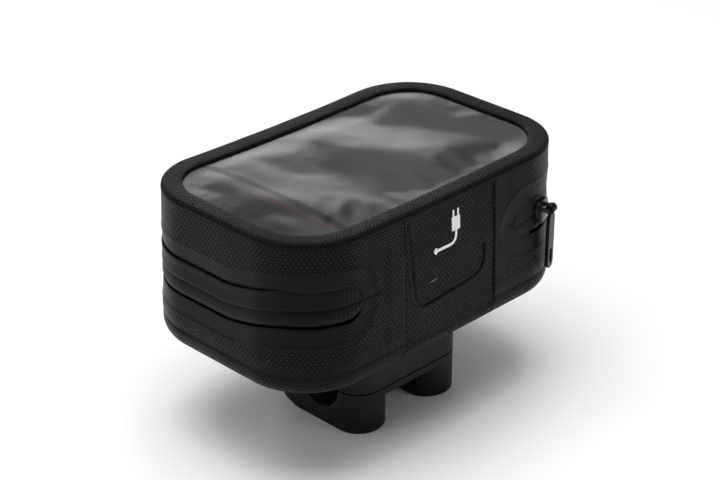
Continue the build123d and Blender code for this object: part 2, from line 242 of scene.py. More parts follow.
broad_swell, broad_scale = 0.35 * MM, 28  # height of the skin's low undulations, and how many a metre
close_swell, close_scale = 0.18 * MM, 75
left_end_zone = (-80 * MM, -66 * MM)  # where the weld round the slot's left tip begins
slider_zone = (44 * MM, 50 * MM)
weld_groove = 0.5 * MM
weld_ridge = 0.4 * MM
weld_dish = 0.55 * MM  # the welded field sinks by this much towards the slot
lip_rise = 1.4  # millimetres over which the lips turn in
tub_lip_sink = 0.15 * MM
seam_length = 11.5 * MM  # short seam past the slot's left tip
crease_height = 12.5 * MM  # over the bag's underside
crease_depth = 0.45 * MM


def wall_relief(along, z):
    """How far the skin stands out at a place, and how smooth it was pressed there, from 0 to 1."""
    place = skin_point(along, z, 0)
    x, y = place.x, place.y
    out = broad_swell * noise.noise(place * broad_scale) + close_swell * noise.noise(place * close_scale)
    smooth = 0.0
    height = z - bag_bottom
    from_zip = z - zip_height(y)
    field = slot_reach(x, y, slot_half + weld_margin)
    on_front = y < corner_place.y
    if field > 0:
        inside = field - abs(from_zip)
        pressed = step(inside, -1.0 * MM, 1.5 * MM)
        end_zone = step(x, *left_end_zone) * (1 if on_front and x < 0 else 0)
        slider_side = step(x, *slider_zone) * (1 if on_front else 0)
        smooth = max(smooth, pressed * (1 - 0.5 * end_zone - 0.1 * slider_side), 0.45 * slider_side)
        out -= weld_groove * bump(inside + 0.6 * MM, 1.3 * MM) * end_zone
        out += weld_ridge * bump(inside - 0.4 * MM, 2.0 * MM) * (0.55 + 0.45 * end_zone)
        out -= weld_dish * step(inside, 1 * MM, weld_margin) * (1 if from_zip > 0 else 0.5)
    reach = slot_reach(x, y)
    if reach > 0:
        lip = abs(from_zip) - reach
        if from_zip > 0:
            turned = step(y, -46 * MM, -20 * MM)
            beside_garage = step(x, 40 * MM, 50 * MM) * (1 - step(x, 62 * MM, 70 * MM)) if on_front else 0
            sink = 0.6 * (1 - beside_garage) - 0.15 * turned
            out -= sink * MM * (1 - step(lip, 0, (lip_rise + 3.2 * turned) * MM))
        else:
            out -= tub_lip_sink * (1 - step(lip, 0, 1.3 * MM))
    elif on_front and (slot_start < x < slot_start + seam_length):
        out -= weld_groove * bump(from_zip, 1.3 * MM)
    crease = height - crease_height
    if not (on_front and strip_a[1] < x < strip_b[0]):
        smooth = max(smooth, 0.8 * bump(crease, 3.2 * MM))
        out -= crease_depth * bump(crease, 2.4 * MM)
        out += 0.2 * MM * bump(height - 18 * MM, 5 * MM)
    if on_front:
        if strip_a[0] < x < strip_a[1]:
            smooth = max(smooth, 0.35)
            out += 0.25 * MM * step(x, strip_a[0], strip_a[0] + 2 * MM)
        if strip_b[0] < x < strip_b[1]:
            smooth = max(smooth, 0.92 * (1 - step(x, strip_b[1] - 3 * MM, strip_b[1])))
        if strip_a[1] <= x <= strip_b[0]:
            out -= panel_recess
    if abs(x) < core_x:
        out -= wall_hollow(x, height)
    return out, smooth


tip_steps = (0.4, 0.45, 0.55, 0.7, 0.9, 1.1, 1.3, 1.5)  # millimetres between columns near a round tip
column_step = 1.35 * MM


def columns_between(start, stop, fine_start, fine_stop):
    """Places from start to stop, closer together at an end that is a round tip."""
    first, last = [start], [stop]
    for gap in tip_steps if fine_start else ():
        first.append(first[-1] + gap * MM)
    for gap in tip_steps if fine_stop else ():
        last.insert(0, last[0] - gap * MM)
    count = max(1, round((last[0] - first[-1]) / column_step))
    middle = [first[-1] + (last[0] - first[-1]) * k / count for k in range(1, count)]
    return first + middle + last


def front(x):
    """How far along the girth a place on the cable side is."""
    return girth / 2 + x


# A sharp step in the skin is two columns close together.
marks = (
    (0, False), (front(slot_start), True), (front(strip_a[1]) - 0.15 * MM, False),
    (front(strip_a[1]) + 0.15 * MM, False), (front(strip_b[0]) - 0.15 * MM, False),
    (front(strip_b[0]) + 0.15 * MM, False), (front(slot_end), True), (girth, False),
)
columns = [0.0]
for (start, fine_start), (stop, fine_stop) in zip(marks, marks[1:]):
    columns += columns_between(start, stop, fine_start, fine_stop)[1:]


def wrapped_grid(name, places, rows, place_at):
    """A grid with one column per place and a number of rows, laid out by place_at, which also gives
    how smooth it is pressed and its height on the flat cloth. The cloth's size is kept in the UV map."""
    bpy.ops.object.select_all(action="DESELECT")
    bpy.ops.mesh.primitive_grid_add(x_subdivisions=len(places) - 1, y_subdivisions=rows - 1, size=2)
    piece = bpy.context.object
    piece.name = name
    mesh = piece.data
    mesh.name = name
    smooth = mesh.attributes.new("smooth", "FLOAT", "POINT")
    heights = {}
    for vertex in mesh.vertices:
        column = round((vertex.co.x + 1) / 2 * (len(places) - 1))
        row = round((vertex.co.y + 1) / 2 * (rows - 1))
        place, pressed, height = place_at(places[column], row)
        vertex.co = place
        smooth.data[vertex.index].value = pressed
        heights[vertex.index] = (places[column] * 10, height * 10)
    layer = mesh.uv_layers[0]
    layer.name = "cloth_mm"
    for loop in mesh.loops:
        layer.data[loop.index].uv = heights[loop.vertex_index]
    return piece


floor_insets = (38 * MM, 26 * MM, 16 * MM)
fillet_rows = 7
tub_rows = 32
lid_rows = 28
lid_wall_top = bag_top - 1.5 * MM


def tub_place(along, row):
    """A vertex of the floor, of the rounded bottom edge or of the tub's wall."""
    if row < len(floor_insets):
        inset = floor_insets[row]
        return skin_point(along, bag_bottom, -inset), 0.0, -inset
    row -= len(floor_insets)
    if row < fillet_rows:
        turn = math.radians(90 * row / fillet_rows)
        inset = bottom_edge * (1 - math.sin(turn))
        z = bag_bottom + bottom_edge * (1 - math.cos(turn))
        return skin_point(along, z, -inset), 0.0, bottom_edge * (turn - 0.57)
    share = (row - fillet_rows) / tub_rows
    foot = bag_bottom + bottom_edge
    base = skin_point(along, foot, 0)
    head = zip_height(base.y) - slot_reach(base.x, base.y)
    z = foot + (head - foot) * share
    out, pressed = wall_relief(along, z)
    out *= step(z, foot, foot + 2 * MM)
    return skin_point(along, z, out), pressed, z - bag_bottom


def lid_place(along, row):
    """A vertex of the lid's wall, from the slot's upper lip, or from the hinge, to the rim."""
    base = skin_point(along, zip_z_hinge, 0)
    foot = zip_height(base.y) + slot_reach(base.x, base.y)
    z = foot + (lid_wall_top - foot) * row / lid_rows
    out, pressed = wall_relief(along, z)
    sag = rim_sag(base.x) * step(z, zip_z_hinge + 4 * MM, bag_top)
    if abs(base.x) > core_x + 1 * MM and abs(base.y - bag_middle_y) < core_y:
        sag = 0
    return skin_point(along, z, out, sag), pressed, z - bag_bottom


tub_grid = wrapped_grid("bag_wall", columns, len(floor_insets) + fillet_rows + tub_rows + 1, tub_place)
lid_grid = wrapped_grid("lid_grid", columns, lid_rows + 1, lid_place)
bpy.ops.object.select_all(action="DESELECT")
lid_grid.select_set(True)
tub_grid.select_set(True)
bpy.context.view_layer.objects.active = tub_grid
bpy.ops.object.join()
bag_wall = bpy.context.object
bpy.ops.object.mode_set(mode="EDIT")
bpy.ops.mesh.select_all(action="SELECT")
bpy.ops.mesh.remove_doubles(threshold=0.02 * MM)
bpy.ops.object.mode_set(mode="OBJECT")
wall_form = bmesh.new()
wall_form.from_mesh(bag_wall.data)
floor_ring = [
    edge for edge in wall_form.edges
    if edge.is_boundary and all(abs(v.co.z - bag_bottom) < 0.01 * MM for v in edge.verts)
]
bmesh.ops.holes_fill(wall_form, edges=floor_ring, sides=0)
wall_form.to_mesh(bag_wall.data)
wall_form.free()
bag_wall.data.shade_smooth()


def finish_piece(piece, **modifiers):
    """Adds modifiers by kind with their settings, and applies them in order."""
    bpy.ops.object.select_all(action="DESELECT")
    piece.select_set(True)
    bpy.context.view_layer.objects.active = piece
    for kind, settings in modifiers.items():
        added = piece.modifiers.new(kind, kind)
        for name, value in settings.items():
            setattr(added, name, value)
        bpy.ops.object.modifier_apply(modifier=added.name)


# Coated polyester, calendered on an embossing roller: small raised lozenges in staggered rows,
# melted flat where the bag was welded. The coat is a satin black that shines on the lozenges; their crowns
# also carry a painted highlight colour and the valleys between them painted shade.
wall_lozenge = (2.5, 1.8)  # millimetres along and up the cloth from one lozenge to the next


def embossed_cloth(name, colour, crown_highlight_colour, depth, rough, lozenge_size=wall_lozenge):
    """Coated cloth with raised lozenges, which the attribute smooth takes away. The crowns get the lighter
    crown colour as a painted highlight and the valleys the darker colour as painted shade; smooth above 1
    paints shade into grooves.
    """
    pitch, rise = lozenge_size
    made, tree, output = new_material(name)
    cloth = add_node(tree, "UVMap", {"uv_map": "cloth_mm"})
    waves = []
    for across, up in ((1 / pitch, -0.5 / rise), (0, 1 / rise), (1 / pitch, 0.5 / rise)):
        direction = (200 * math.pi * across, 200 * math.pi * up, 0)
        phase = add_node(tree, "VectorMath", {"operation": "DOT_PRODUCT"}, _0=cloth.outputs[0], _1=direction)
        waves.append(add_node(tree, "Math", {"operation": "COSINE"}, _0=phase.outputs["Value"]))
    pair = add_node(tree, "Math", {"operation": "ADD"}, _0=waves[0].outputs[0], _1=waves[1].outputs[0])
    total = add_node(tree, "Math", {"operation": "ADD"}, _0=pair.outputs[0], _1=waves[2].outputs[0])
    lozenge = add_node(
        tree, "MapRange", {"interpolation_type": "SMOOTHSTEP"}, _0=total.outputs[0], _1=-1.2, _2=1.6)
    pressed = add_node(tree, "Attribute", {"attribute_name": "smooth"})
    left = add_node(
        tree, "Math", {"operation": "SUBTRACT", "use_clamp": True}, _0=1.0, _1=pressed.outputs["Fac"])
    raised = add_node(tree, "Math", {"operation": "MULTIPLY"}, _0=lozenge.outputs[0], _1=left.outputs[0])
    object_place = add_node(tree, "TexCoord")
    grain = add_node(tree, "TexNoise", Vector=object_place.outputs["Object"], Scale=900.0, Detail=2.0)
    patches = add_node(tree, "TexNoise", Vector=object_place.outputs["Object"], Scale=22.0, Detail=3.0)
    fine = add_node(
        tree, "Math", {"operation": "MULTIPLY_ADD"}, _0=grain.outputs[0], _1=0.12, _2=raised.outputs[0])
    relief = add_node(tree, "Bump", Height=fine.outputs[0], Distance=depth, Strength=1.0)
    # Painted highlight and shade: raised crowns mix towards the lighter crown colour, valleys keep the darker
    # colour, and pressed flat cloth sits 0.3 of the way.
    flat_shade = add_node(tree, "Math", {"operation": "MULTIPLY"}, _0=pressed.outputs["Fac"], _1=0.3)
    painted_crown_light = add_node(tree, "Math", {"operation": "MAXIMUM"}, _0=raised.outputs[0], _1=flat_shade.outputs[0])
    # Painted shade in deep grooves: smooth from 1 to 1.6 darkens the colour mix down to a tenth.
    groove_painted_shade = add_node(tree, "MapRange", _0=pressed.outputs["Fac"], _1=1.0, _2=1.6, _3=1.0, _4=0.1)
    lit_share_after_groove_shade = add_node(tree, "Math", {"operation": "MULTIPLY"}, _0=painted_crown_light.outputs[0], _1=groove_painted_shade.outputs[0])
    shade = add_node(tree, "Mix", {"data_type": "RGBA"}, _0=lit_share_after_groove_shade.outputs[0])
    shade.inputs[6].default_value = linear(colour)
    shade.inputs[7].default_value = linear(crown_highlight_colour)
    rub = add_node(tree, "MapRange", _0=patches.outputs[0], _1=0.3, _2=0.7, _3=rough - 0.05, _4=rough + 0.07)
    coat = add_node(
        tree, "BsdfPrincipled", Base_Color=shade.outputs[2], Roughness=rub.outputs[0],
        Normal=relief.outputs[0], IOR=1.5, Specular_IOR_Level=0.1,
    )
    tree.links.new(coat.outputs[0], output.inputs[0])
    return made


wall_cloth = embossed_cloth("embossed_tpu_cloth", "030304", "1B1B1E", 0.7 * MM, 0.38)
lining_cloth = embossed_cloth("woven_lining", "16161A", "1C1C20", 0.1 * MM, 0.8)
bag_wall.data.materials.append(wall_cloth)
bag_wall.data.materials.append(lining_cloth)
finish_piece(
    bag_wall,
    SOLIDIFY={"thickness": wall_thickness, "offset": -1, "use_even_offset": False, "material_offset": 1},
    BEVEL={"width": 0.45 * MM, "segments": 2, "limit_method": "ANGLE", "angle_limit": math.radians(60)},
)
bag_wall.data.shade_smooth()
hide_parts("base_shell", "lid_shell")
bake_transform(bag_wall)

# ------------------------------------------------------------------ lid-side rim
# Band of darker coated cloth, folded over the lid's top edge and welded to it. It frames the
# window and rolls softly over the outer edge. Stiffening ring of board under it.
rim_step = 2.2 * MM
rim_columns = [girth * k / round(girth / rim_step) for k in range(round(girth / rim_step) + 1)]
rim_width = 10.85 * MM
band_section = (  # inset from the bag's skin, height from the top, in millimetres
    (0.25, -3.6), (-0.05, -3.3), (-0.2, -2.7), (-0.2, -2.0), (-0.02, -1.2), (0.5, -0.5), (1.3, -0.12),
    (2.6, 0.0), (5.0, -0.02), (7.5, -0.1), (9.4, -0.22), (10.4, -0.5), (10.85, -1.0), (10.8, -1.5),
    (9.0, -1.55), (5.0, -1.5), (1.5, -1.55), (0.6, -2.2), (0.25, -3.6),
)
band_lengths = [0.0]
for before, after in zip(band_section, band_section[1:]):
    band_lengths.append(band_lengths[-1] + math.dist(before, after) * MM)


def edge_sag(along):
    """The sag of the rim at a place round it: only the two long edges hang."""
    place = skin_point(along, bag_top, 0)
    return rim_sag(place.x) if abs(place.y - bag_middle_y) > core_y + 2 * MM else 0.0


def band_place(along, row):
    """A vertex of the rim band's section."""
    inset, height = band_section[row]
    wave = 0.25 * MM * noise.noise(skin_point(along, bag_top, 0) * 40)
    z = bag_top + height * MM + wave * bump(inset - 4, 8)
    return skin_point(along, z, -inset * MM, edge_sag(along)), 0.0, band_lengths[row]


rim_band = wrapped_grid("rim_band", rim_columns, len(band_section), band_place)
finish_piece(rim_band, WELD={"merge_threshold": 0.02 * MM})
rim_band.data.shade_smooth()
# The same make of cloth with a finer emboss and a duller, darker coat.
fine_lozenge = (2.2, 1.6)
band_cloth = embossed_cloth("ribbed_rim_cloth", "010102", "101012", 0.7 * MM, 0.5, fine_lozenge)
rim_band.data.materials.append(band_cloth)
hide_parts("top_rim")
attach(rim_band, "lid")

# ------------------------------------------------------------------ phone window
# Clear soft film, high-frequency welded under the rim band. It is cut a little full, so it lies
# in soft waves with tighter folds near the corners.
window_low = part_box("window")[0]
film_gap = 6.2 * MM  # from the bag's skin to the film's cut edge
film_half_x = rim_high.x - film_gap
film_half_y = (rim_high.y - rim_low.y) / 2 - film_gap
film_radius = corner_radius - film_gap


def outline_gap(x, y):
    """How far a place is outside the film's cut edge; inside it is negative."""
    over_x = abs(x) - (film_half_x - film_radius)
    over_y = abs(y - bag_middle_y) - (film_half_y - film_radius)
    if over_x > 0 and over_y > 0:
        return math.hypot(over_x, over_y) - film_radius
    return max(over_x, over_y) - film_radius


def film_wave(x, y):
    """The waves that the film was welded with."""
    soft = noise.noise(Vector((x * 24 + y * 5, y * 9 - x * 3, 0.3)))
    folds = noise.noise(Vector((x * 70 + y * 16, y * 28 - x * 12, 1.7)))
    end_folds = 0.3 + 0.7 * step(-x, 30 * MM, 85 * MM)
    corner_fold = bump(math.hypot(x + 52 * MM, y + 32 * MM), 26 * MM) * math.sin((x * 0.8 - y) * 330)
    return (2.1 * soft + 0.8 * folds * end_folds + 0.6 * corner_fold) * MM


film_cell = 1.6 * MM
bpy.ops.object.select_all(action="DESELECT")
bpy.ops.mesh.primitive_grid_add(
    x_subdivisions=round(2 * film_half_x / film_cell), y_subdivisions=round(2 * film_half_y / film_cell),
    size=1)
film = bpy.context.object
film.name = "window_film"
film_form = bmesh.new()
film_form.from_mesh(film.data)
for vertex in film_form.verts:
    vertex.co.x *= 2 * film_half_x
    vertex.co.y = vertex.co.y * 2 * film_half_y + bag_middle_y
outside = [v for v in film_form.verts if outline_gap(v.co.x, v.co.y) > film_cell * 0.75]
bmesh.ops.delete(film_form, geom=outside, context="VERTS")
for vertex in film_form.verts:
    gap = outline_gap(vertex.co.x, vertex.co.y)
    if gap > 0:
        corner = Vector((
            math.copysign(film_half_x - film_radius, vertex.co.x),
            math.copysign(film_half_y - film_radius, vertex.co.y - bag_middle_y) + bag_middle_y, 0))
        away = (vertex.co - corner).normalized()
        vertex.co -= away * gap
        gap = 0.0
    x, y = vertex.co.x, vertex.co.y
    free = step(-gap, rim_width - film_gap - 0.5 * MM, rim_width - film_gap + 14 * MM)
    hang = rim_sag(x) * step(abs(y - bag_middle_y), film_half_y - 26 * MM, film_half_y - 4 * MM)
    vertex.co.z = window_low.z + 0.1 * MM - hang + film_wave(x, y) * free
film_form.to_mesh(film.data)
flat_film = sum(face.calc_area() for face in film_form.faces)
film_form.free()
held_edge = film.vertex_groups.new(name="held_edge")
held = [v.index for v in film.data.vertices if outline_gap(v.co.x, v.co.y) > film_gap - rim_width - 0.5 * MM]
held_edge.add(held, 1.0, "REPLACE")
welded_heights = [v.co.z for v in film.data.vertices]
film_travel = 1.0 * MM  # the film lifts and sinks no further than this as it settles
cloth = film.modifiers.new("settle", "CLOTH")
cloth.settings.quality = 8
cloth.settings.mass = 0.1
cloth.settings.tension_stiffness = 60
cloth.settings.compression_stiffness = 60
cloth.settings.shear_stiffness = 30
cloth.settings.bending_stiffness = 8
cloth.settings.vertex_group_mass = "held_edge"
cloth.settings.shrink_min = -0.0008
cloth.settings.effector_weights.gravity = 0.0
cloth.collision_settings.use_collision = False
for number in range(1, 13):
    bpy.context.scene.frame_set(number)
bpy.context.view_layer.objects.active = film
bpy.ops.object.modifier_apply(modifier="settle")
bpy.context.scene.frame_set(1)
for vertex, height in zip(film.data.vertices, welded_heights):
    vertex.co.z = min(max(vertex.co.z, height - film_travel), height + film_travel)
finish_piece(
    film,
    SMOOTH={"factor": 0.5, "iterations": 10, "vertex_group": "held_edge", "invert_vertex_group": True},
)
# Soft polyurethane film, cast on a smooth belt: glossy, smoky and hazy. It is clearest over the
# pocket's bound edge. Its underside shines far less, as most light is turned back at the top.
mouth_back = 61 * MM  # the pocket's mouth is this far left of the bag's middle
film_paint, tree, output = new_material("clear_soft_film")
place = add_node(tree, "TexCoord")
haze = add_node(tree, "TexNoise", Vector=place.outputs["Object"], Scale=14.0, Detail=3.0)
cast = add_node(tree, "MapRange", _0=haze.outputs[0], _1=0.35, _2=0.7, _3=0.22, _4=0.32)
ripple = add_node(tree, "TexNoise", Vector=place.outputs["Object"], Scale=70.0, Detail=1.0)
dent = add_node(tree, "Bump", Height=ripple.outputs[0], Distance=0.1 * MM, Strength=0.4)
across = add_node(tree, "SeparateXYZ", Vector=place.outputs["Object"])
past_mouth = add_node(tree, "Math", {"operation": "ADD"}, _0=across.outputs[0], _1=mouth_back)
from_mouth = add_node(tree, "Math", {"operation": "ABSOLUTE"}, _0=past_mouth.outputs[0])
smoke = add_node(tree, "MapRange", _0=from_mouth.outputs[0], _1=1.2 * MM, _2=3 * MM, _3=0.58, _4=0.88)
gloss = add_node(
    tree, "BsdfPrincipled", Base_Color=linear("0E0D0D"), Roughness=cast.outputs[0], Alpha=smoke.outputs[0],
    IOR=1.5, Normal=dent.outputs[0],
)
tree.links.new(gloss.outputs[0], output.inputs[0])
film_back, tree, output = new_material("clear_film_back")
place = add_node(tree, "TexCoord")
haze = add_node(tree, "TexNoise", Vector=place.outputs["Object"], Scale=14.0, Detail=3.0)
cast = add_node(tree, "MapRange", _0=haze.outputs[0], _1=0.35, _2=0.7, _3=0.5, _4=0.7)
matt = add_node(
    tree, "BsdfPrincipled", Base_Color=linear("0E0D0D"), Roughness=cast.outputs[0], Alpha=0.08, IOR=1.3)
tree.links.new(matt.outputs[0], output.inputs[0])
film.data.materials.append(film_paint)
film.data.materials.append(film_back)
finish_piece(
    film,
    SOLIDIFY={"thickness": 0.5 * MM, "offset": 0, "material_offset": 1},
    SUBSURF={"levels": 1, "render_levels": 1},
)
film.data.shade_smooth()
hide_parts("window")
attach(film, "lid")

# ------------------------------------------------------------------ phone pocket
# A cloth sheet sewn under the window keeps the phone up against the film. Its free edge, on the
# left, is bound with a red woven tape and is the pocket's mouth.
pocket_low, pocket_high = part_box("pocket_back")
mouth_line = (  # y and x along the pocket's bound edge, in millimetres
    (-56, -58), (-49, -59), (-45, -59.5), (-33, -61), (-14, -61), (4, -61), (17, -62.5), (32, -62), (50, -61),
    (60, -60), (66, -63), (69.5, -66),
)


def mouth_x(y):
    """Where the pocket's free edge is at a place across it."""
    for (y0, x0), (y1, x1) in zip(mouth_line, mouth_line[1:]):
        if y <= y1 * MM or (y1, x1) == mouth_line[-1]:
            share = min(max((y - y0 * MM) / ((y1 - y0) * MM), 0.0), 1.0)
            return (x0 + (x1 - x0) * share) * MM


def pocket_height(x, y):
    """Top of the pocket's sheet: it is drawn up towards the film between its sewn edges."""
    across = 1 - ((y - bag_middle_y) / (pocket_high.y - bag_middle_y)) ** 2
    along = step(pocket_high.x - x, 0, 30 * MM)
    wave = 0.4 * MM * noise.noise(Vector((x * 20, y * 24, 4.0)))
    return pocket_high.z - 0.3 * MM + (2.9 * MM + wave) * max(across, 0.0) ** 0.6 * along


def pocket_place(along, row):
    """A vertex of the pocket's sheet; along runs across the bag, and row from the mouth to the far end."""
    y = pocket_low.y + 0.4 * MM + along
    corner = abs(y - bag_middle_y) - (core_y - 2 * MM)
    end = pocket_high.x - (0 if corner < 0 else 33 * MM - math.sqrt(max((33 * MM) ** 2 - corner ** 2, 0)))
    x = mouth_x(y) + (end - mouth_x(y)) * row / pocket_rows
    return Vector((x, y, pocket_height(x, y))), 0.0, x


pocket_rows = 70
pocket_span = pocket_high.y - pocket_low.y - 0.8 * MM
pocket_count = 52
pocket_columns = [pocket_span * k / pocket_count for k in range(pocket_count + 1)]
pocket_sheet = wrapped_grid("pocket_sheet", pocket_columns, pocket_rows + 1, pocket_place)
finish_piece(pocket_sheet, SOLIDIFY={"thickness": 0.6 * MM, "offset": 0})
pocket_sheet.data.shade_smooth()
# Plain-woven nylon with a thin coat: nearly smooth, with a faint weave and little shine.
pocket_cloth = embossed_cloth("smooth_nylon_cloth", "08080A", "0D0D0F", 0.05 * MM, 0.5, fine_lozenge)
pocket_sheet.data.materials.append(pocket_cloth)
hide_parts("pocket_back")
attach(pocket_sheet, "lid")

binding_section = (  # across the tape and up, in millimetres
    (0.0, 0.9), (1.2, 0.8), (2.6, 0.5), (2.6, -0.4), (1.2, -0.8), (0.0, -0.9), (-0.5, 0.0), (0.0, 0.9),
)


def binding_place(along, row):
    """A vertex of the tape folded over the pocket's free edge."""
    y = pocket_low.y + 3.5 * MM + along
    x = mouth_x(y) + (binding_section[row][0] - 0.6) * MM
    return Vector((x, y, pocket_height(x, y) + (binding_section[row][1] + 0.1) * MM)), 0.0, row * MM


binding_count = 110
binding_columns = [(pocket_span - 6 * MM) * k / binding_count for k in range(binding_count + 1)]
binding = wrapped_grid("pocket_binding_tape", binding_columns, len(binding_section), binding_place)
finish_piece(binding, WELD={"merge_threshold": 0.02 * MM}, SUBSURF={"levels": 1, "render_levels": 1})
binding.data.shade_smooth()
# Woven polyester tape, dyed signal red: dull, with a painted highlight colour on its threads' crowns.
binding_cloth = embossed_cloth("red_woven_tape", "D0181D", "FF3A3E", 0.1 * MM, 0.6, fine_lozenge)
binding.data.materials.append(binding_cloth)
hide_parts("pocket_binding")
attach(binding, "lid")

# ------------------------------------------------------------------ zip
# Reverse-coil zip with coated, water-resistant tapes, sewn behind the slot's lips. The two tapes
# dome out a little and meet edge to edge in a fine line over the coil.
stay_y = -29.0 * MM  # the still tape beside the slider ends here
tape_depth = 1.9 * MM
stay_turn = math.degrees(math.asin((corner_place.y - stay_y) / (corner_radius - tape_depth)))
stay_along = front(core_x) + quarter * (90 - stay_turn) / 90
slot_columns = [c for c in columns if c >= front(slot_end) - 0.01 * MM]
slot_columns += [c + girth for c in columns[1:] if c <= front(slot_start) + 0.01 * MM]
tape_tuck = 1.1 * MM
lower_dome = ((-0.2, 3.4), (0.0, 3.3), (0.07, 3.0), (0.15, 2.0), (0.27, 1.25), (0.45, 0.95), (0.65, 0.95),
              (0.82, 1.15), (0.93, 1.4), (0.985, 1.7), (1.0, 2.3))
upper_dome = ((-0.2, 2.6), (0.0, 1.95), (0.12, 1.75), (0.3, 1.65), (0.5, 1.6), (0.7, 1.5), (0.88, 1.45),
              (0.95, 1.5), (0.985, 1.7), (1.0, 2.3))
tape_rows = (0.0, 0.06, 0.11, 0.16, 0.22, 0.3, 0.4, 0.5, 0.6, 0.7, 0.8, 0.88, 0.94, 0.975, 1.0)


def dome_inset(dome, share):
    """The tape's depth behind the bag's skin, from the slot's lip, 0, to the middle line, 1."""
    for (share0, inset0), (share1, inset1) in zip(dome, dome[1:]):
        if share <= share1:
            return inset0 + (inset1 - inset0) * max(share - share0, 0) / (share1 - share0)
    return dome[-1][1]


def tape_place(side, dome):
    """The layout of one tape: side is 1 for the upper tape and -1 for the lower."""
    def place_at(along, row):
        base = skin_point(along, zip_z_hinge, 0)
        reach = slot_reach(base.x, base.y)
        height = (reach + tape_tuck) * (1 - tape_rows[row])
        share = 1 - height / reach if reach > 1 * MM else -0.2
        inset = dome_inset(dome, max(share, -0.2)) * MM
        if side > 0:
            # Away from the cable side the upper tape is laminated over the slot's lip.
            turned = step(base.y, -46 * MM, -20 * MM)
            lip = zip_height(base.y) + reach + max(height - reach, 0)
            laid = -wall_relief(along, lip)[0] - 0.08 * MM
            lapped = turned * (1 - step(share, 0.05, 0.45))
            inset = inset * (1 - lapped) + laid * lapped - 0.6 * MM * turned * step(share, 0.05, 0.45)
        ribs = step(base.x, -92 * MM, -74 * MM) if base.y < corner_place.y and base.x < 0 else 0
        z = zip_height(base.y) + side * (height + 0.12 * MM)
        return skin_point(along, z, -inset), 1 - 0.5 * ribs, z - bag_bottom
    return place_at


# Polyurethane-coated woven tape: smooth satin black, with the weave's cross ribs showing through
# where it is gathered at the round end.
tape_paint, tree, output = new_material("coated_zip_tape")
cloth_place = add_node(tree, "UVMap", {"uv_map": "cloth_mm"})
pressed = add_node(tree, "Attribute", {"attribute_name": "smooth"})
ribs = add_node(
    tree, "TexWave", {"bands_direction": "X"}, Vector=cloth_place.outputs[0], Scale=13.0, Distortion=0.6,
    Detail=1.0)
amount = add_node(tree, "Math", {"operation": "SUBTRACT"}, _0=1.02, _1=pressed.outputs["Fac"])
rib_height = add_node(tree, "Math", {"operation": "MULTIPLY"}, _0=ribs.outputs[1], _1=amount.outputs[0])
object_place = add_node(tree, "TexCoord")
grain = add_node(tree, "TexNoise", Vector=object_place.outputs["Object"], Scale=700.0, Detail=2.0)
height = add_node(
    tree, "Math", {"operation": "MULTIPLY_ADD"}, _0=grain.outputs[0], _1=0.08, _2=rib_height.outputs[0])
relief = add_node(tree, "Bump", Height=height.outputs[0], Distance=0.3 * MM, Strength=0.8)
coat = add_node(
    tree, "BsdfPrincipled", Base_Color=linear("060607"), Roughness=0.45, Normal=relief.outputs[0],
    Specular_IOR_Level=0.12)
tree.links.new(coat.outputs[0], output.inputs[0])

for name, places, side, dome, node, body in (
    ("zip_tape_lower", slot_columns, -1, lower_dome, "lower_zip_tape", "tub"),
    ("zip_tape_upper", [stay_along] + [c for c in slot_columns if c > stay_along + 0.2 * MM], 1, upper_dome,
     "upper_zip_tape", "lid"),
    ("zip_tape_sewn_end", [c for c in slot_columns if c < stay_along - 0.4 * MM] + [stay_along - 0.2 * MM], 1,
     upper_dome, "zip_end_tape", "tub"),
):
    tape = wrapped_grid(name, places, len(tape_rows), tape_place(side, dome))
    if side < 0:
        tape.data.flip_normals()
    finish_piece(tape, SOLIDIFY={"thickness": 1.0 * MM, "offset": -1, "use_even_offset": False})
    tape.data.shade_smooth()
    tape.data.materials.append(tape_paint)
    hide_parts(node)
    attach(tape, body)

coil_pitch = 2.0 * MM
coil_step = 0.5 * MM
coil_round = 8


def coil_place(side):
    """The layout of one coil: a flattened spiral seen as a row of rounded turns."""
    def place_at(along, row):
        base = skin_point(along, zip_z_hinge, 0)
        turn = 2 * math.pi * row / coil_round
        swell = 0.78 + 0.22 * math.cos(2 * math.pi * along / coil_pitch)
        z = zip_height(base.y) + side * (1.45 + 1.2 * swell * math.cos(turn)) * MM
        return skin_point(along, z, -(3.3 + 0.75 * swell * math.sin(turn)) * MM), 1.0, 0.0
    return place_at


# Drawn nylon monofilament, wound and heat-set: smooth, with a soft shine along each turn.
nylon, tree, output = new_material("nylon_coil")
object_place = add_node(tree, "TexCoord")
grain = add_node(tree, "TexNoise", Vector=object_place.outputs["Object"], Scale=500.0, Detail=2.0)
rub = add_node(tree, "MapRange", _0=grain.outputs[0], _1=0.3, _2=0.7, _3=0.32, _4=0.5)
coat = add_node(tree, "BsdfPrincipled", Base_Color=linear("0E0E0F"), Roughness=rub.outputs[0], IOR=1.53)
tree.links.new(coat.outputs[0], output.inputs[0])
coil_start = front(slot_end) + 3 * MM
coil_length = girth - (slot_end - slot_start) - 6 * MM
for name, start, side, node, body in (
    ("zip_coil_lower", 0, -1, "lower_zip_coil", "tub"),
    ("zip_coil_upper", stay_along - coil_start, 1, "upper_zip_coil", "lid"),
):
    count = round((coil_length - start) / coil_step)
    coil_columns = [coil_start + start + (coil_length - start) * k / count for k in range(count + 1)]
    coil = wrapped_grid(name, coil_columns, coil_round + 1, coil_place(side))
    finish_piece(coil, WELD={"merge_threshold": 0.02 * MM})
    coil_form = bmesh.new()
    coil_form.from_mesh(coil.data)
    bmesh.ops.holes_fill(coil_form, edges=[edge for edge in coil_form.edges if edge.is_boundary], sides=0)
    bmesh.ops.recalc_face_normals(coil_form, faces=coil_form.faces)
    coil_form.to_mesh(coil.data)
    coil_form.free()
    coil.data.shade_smooth()
    coil.data.materials.append(nylon)
    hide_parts(node)
    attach(coil, body)

# ------------------------------------------------------------------ zip garage
# A patch of the wall's cloth, heat-formed over the slot's end and pressed smooth, with a few
# creases where it was drawn round the tapes.
garage_cells = 30
garage_length = 16.5 * MM
garage_start = front(slot_end - 1.5 * MM)


